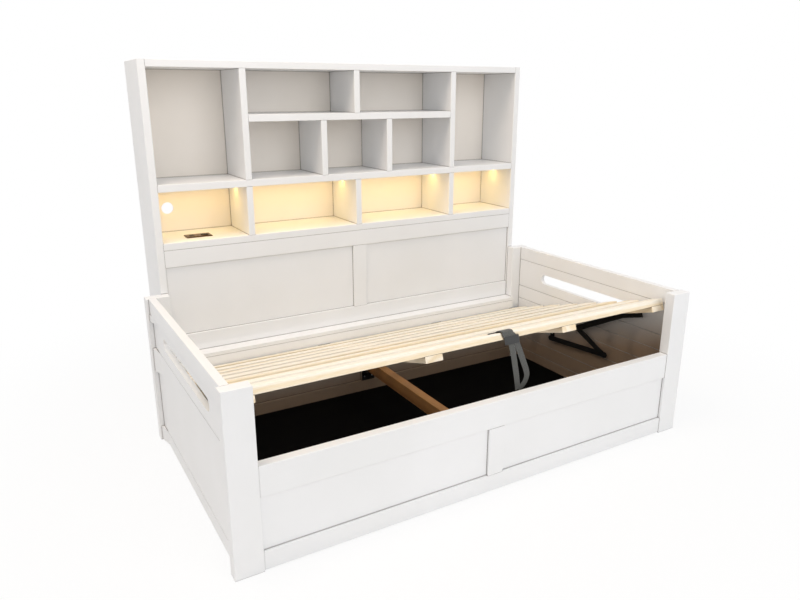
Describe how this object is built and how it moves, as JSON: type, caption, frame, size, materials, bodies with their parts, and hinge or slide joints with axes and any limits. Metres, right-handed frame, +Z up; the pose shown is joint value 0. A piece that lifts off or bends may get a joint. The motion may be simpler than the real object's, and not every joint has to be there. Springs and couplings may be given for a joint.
{
  "type": "bookcase headboard bed",
  "caption": "White daybed with a bookcase along its back, lit cubbies, slotted ends and a pine slat platform that lifts on hinges and side links over a storage box.",
  "frame": {"origin": "middle of the footprint, on the floor", "axes": "+X along the bed, -Y the open front, +Y the bookcase back, +Z up"},
  "size_m": [2.02, 1.37, 1.576],
  "materials": {
    "white_paint": "white satin paint on board",
    "slat_pine": "bare sanded pine",
    "beam_pine": "warm brown pine",
    "black_board": "black laminated board",
    "zinc_steel": "zinc-plated",
    "black_steel": "black powder coat",
    "webbing": "ribbed grey webbing",
    "channel_aluminium": "satin anodised",
    "warm_diffuser": "frosted, lit warm white",
    "socket_brass": "antique brass",
    "socket_plastic": "dark brown"
  },
  "bodies": {
    "bed_frame": {"post_front_left": "white_paint", "post_front_right": "white_paint", "post_rear_left": "white_paint", "post_rear_right": "white_paint", "front_top_rail": "white_paint", "front_bottom_rail": "white_paint", "rear_top_rail": "white_paint", "rear_ledge": "white_paint", "rear_bottom_rail": "white_paint", "mid_stiles": "white_paint", "frame_panels": "white_paint", "side_top_rail_left": "white_paint", "side_top_rail_right": "white_paint", "slot_board_left": "white_paint", "slot_board_right": "white_paint", "side_planks_left": "white_paint", "side_planks_right": "white_paint", "side_bottom_rails": "white_paint", "case_side_left": "white_paint", "case_side_right": "white_paint", "case_top": "white_paint", "upper_shelf": "white_paint", "main_shelf": "white_paint", "lower_shelf": "white_paint", "tall_partitions": "white_paint", "top_partition": "white_paint", "middle_partitions": "white_paint", "lower_partitions": "white_paint", "case_back": "white_paint", "apron_rail": "white_paint", "lower_panels": "white_paint", "lower_stile": "white_paint", "lower_rail": "white_paint", "case_base": "white_paint", "support_beam": "beam_pine", "front_ledgers": "beam_pine", "floor_panels": "black_board", "floor_bearer": "black_board", "hinge_rail_leaves": "zinc_steel", "hinge_pins": "zinc_steel", "frame_screws": "zinc_steel", "wall_plates": "black_steel", "wall_pins": "black_steel", "beam_hangers": "black_steel", "light_channels": "channel_aluminium", "light_diffusers": "warm_diffuser", "socket_plate": "socket_brass", "socket_ports": "socket_plastic"},
    "platform": {"slats": "slat_pine", "cross_bars": "slat_pine", "hinge_platform_leaves": "zinc_steel", "lift_arms": "black_steel", "arm_pins": "black_steel", "platform_screws": "zinc_steel", "pull_strap": "webbing", "strap_keeper": "webbing"},
    "left_upper_link": {"upper_link_left": "black_steel"},
    "right_upper_link": {"upper_link_right": "black_steel"},
    "left_lower_link": {"lower_link_left": "black_steel"},
    "right_lower_link": {"lower_link_right": "black_steel"}
  },
  "joints": [
    {"name": "platform_lift", "type": "hinge", "parent": "bed_frame", "child": "platform", "pos_m": [0, 0.3473, 0.298], "axis": [-1, 0, 0], "range_deg": [-17.3, 27.7]},
    {"name": "left_lower_link_swing", "type": "hinge", "parent": "bed_frame", "child": "left_lower_link", "pos_m": [-0.9545, 0.0793, 0.203], "axis": [-1, 0, 0], "range_deg": [-21, 33]},
    {"name": "left_upper_link_swing", "type": "hinge", "parent": "platform", "child": "left_upper_link", "pos_m": [-0.949, -0.1134, 0.31664], "axis": [1, 0, 0], "range_deg": [-22, 35]},
    {"name": "right_lower_link_swing", "type": "hinge", "parent": "bed_frame", "child": "right_lower_link", "pos_m": [0.9545, 0.0793, 0.203], "axis": [-1, 0, 0], "range_deg": [-21, 33]},
    {"name": "right_upper_link_swing", "type": "hinge", "parent": "platform", "child": "right_upper_link", "pos_m": [0.949, -0.1134, 0.31664], "axis": [1, 0, 0], "range_deg": [-22, 35]}
  ],
  "couplings": [
    {"joint": "left_lower_link_swing", "follows": "platform_lift", "ratio": 1.1245},
    {"joint": "left_upper_link_swing", "follows": "platform_lift", "ratio": 1.202},
    {"joint": "right_lower_link_swing", "follows": "platform_lift", "ratio": 1.1245},
    {"joint": "right_upper_link_swing", "follows": "platform_lift", "ratio": 1.202}
  ]
}
